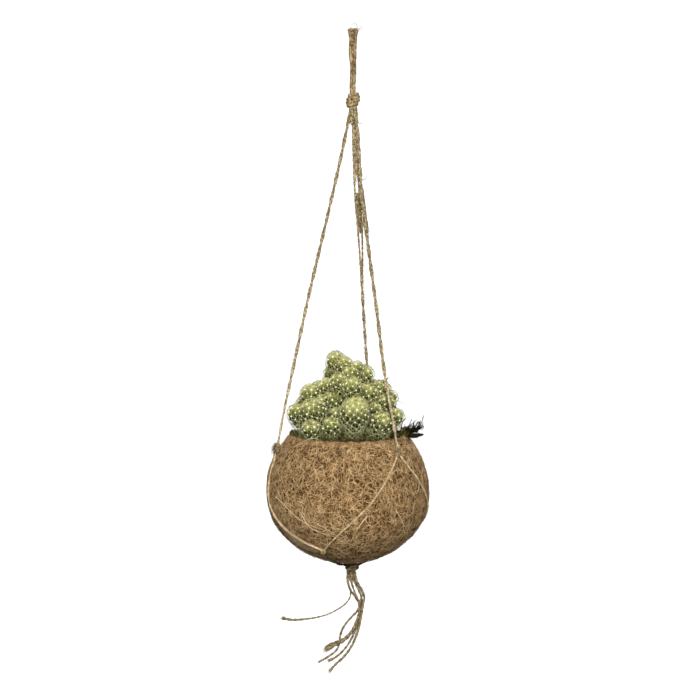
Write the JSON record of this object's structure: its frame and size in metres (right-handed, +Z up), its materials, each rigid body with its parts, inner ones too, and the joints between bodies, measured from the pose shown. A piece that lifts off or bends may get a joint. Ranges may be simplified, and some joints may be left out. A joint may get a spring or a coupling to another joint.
{
  "type": "hanging coir ball planter with cactus",
  "caption": "Ball of matted coconut fibre in a knotted twine hanger, open at the top and planted with a clump of small round cactus heads.",
  "frame": {"origin": "top of the hanging loop, where a hook holds it", "axes": "+Z up along the hanger, front of the plant towards -Y, +X to the right seen from the front"},
  "size_m": [0.1508, 0.1522, 0.5954],
  "materials": {
    "coir": "matted coconut fibre",
    "soil": "loose dark potting mix of bark and fibre",
    "twine": "hairy jute twine",
    "cactus": "waxy green flesh with white wool and pale spines",
    "moss": "dry dark moss"
  },
  "bodies": {
    "root": {"bottom_knot": "twine", "cactus_head_01": "cactus", "cactus_head_02": "cactus", "cactus_head_03": "cactus", "cactus_head_05": "cactus", "cactus_head_06": "cactus", "cactus_head_07": "cactus", "cactus_head_08": "cactus", "cactus_head_09": "cactus", "cactus_head_11": "cactus", "cactus_head_12": "cactus", "cactus_head_13": "cactus", "cactus_head_14": "cactus", "cactus_head_16": "cactus", "cactus_head_17": "cactus", "cactus_head_18": "cactus", "cactus_head_19": "cactus", "cactus_head_20": "cactus", "cactus_head_22": "cactus", "cactus_head_23": "cactus", "cactus_head_24": "cactus", "cactus_head_25": "cactus", "cactus_head_26": "cactus", "cactus_head_27": "cactus", "cactus_head_29": "cactus", "cactus_head_30": "cactus", "cactus_head_31": "cactus", "cactus_head_32": "cactus", "cactus_head_34": "cactus", "cactus_head_35": "cactus", "cactus_head_36": "cactus", "coir_shell": "coir", "gather_strand_back": "twine", "gather_strand_front": "twine", "gather_strand_right": "twine", "hanger_leg_back": "twine", "hanger_leg_left": "twine", "hanger_leg_right": "twine", "hanging_loop": "twine", "lower_knot_back": "twine", "lower_knot_front": "twine", "lower_knot_right": "twine", "moss_tuft_left": "moss", "moss_tuft_right": "moss", "net_strand_back_back": "twine", "net_strand_back_right": "twine", "net_strand_left_back": "twine", "net_strand_left_front": "twine", "net_strand_right_front": "twine", "net_strand_right_right": "twine", "shoulder_knot_back": "twine", "shoulder_knot_left": "twine", "shoulder_knot_right": "twine", "soil_fill": "soil", "top_knot": "twine", "twine_tail_frayed": "twine", "twine_tail_looped": "twine", "twine_tail_lowest": "twine", "twine_tail_middle": "twine", "twine_tail_sweeping_left": "twine"}
  },
  "joints": []
}
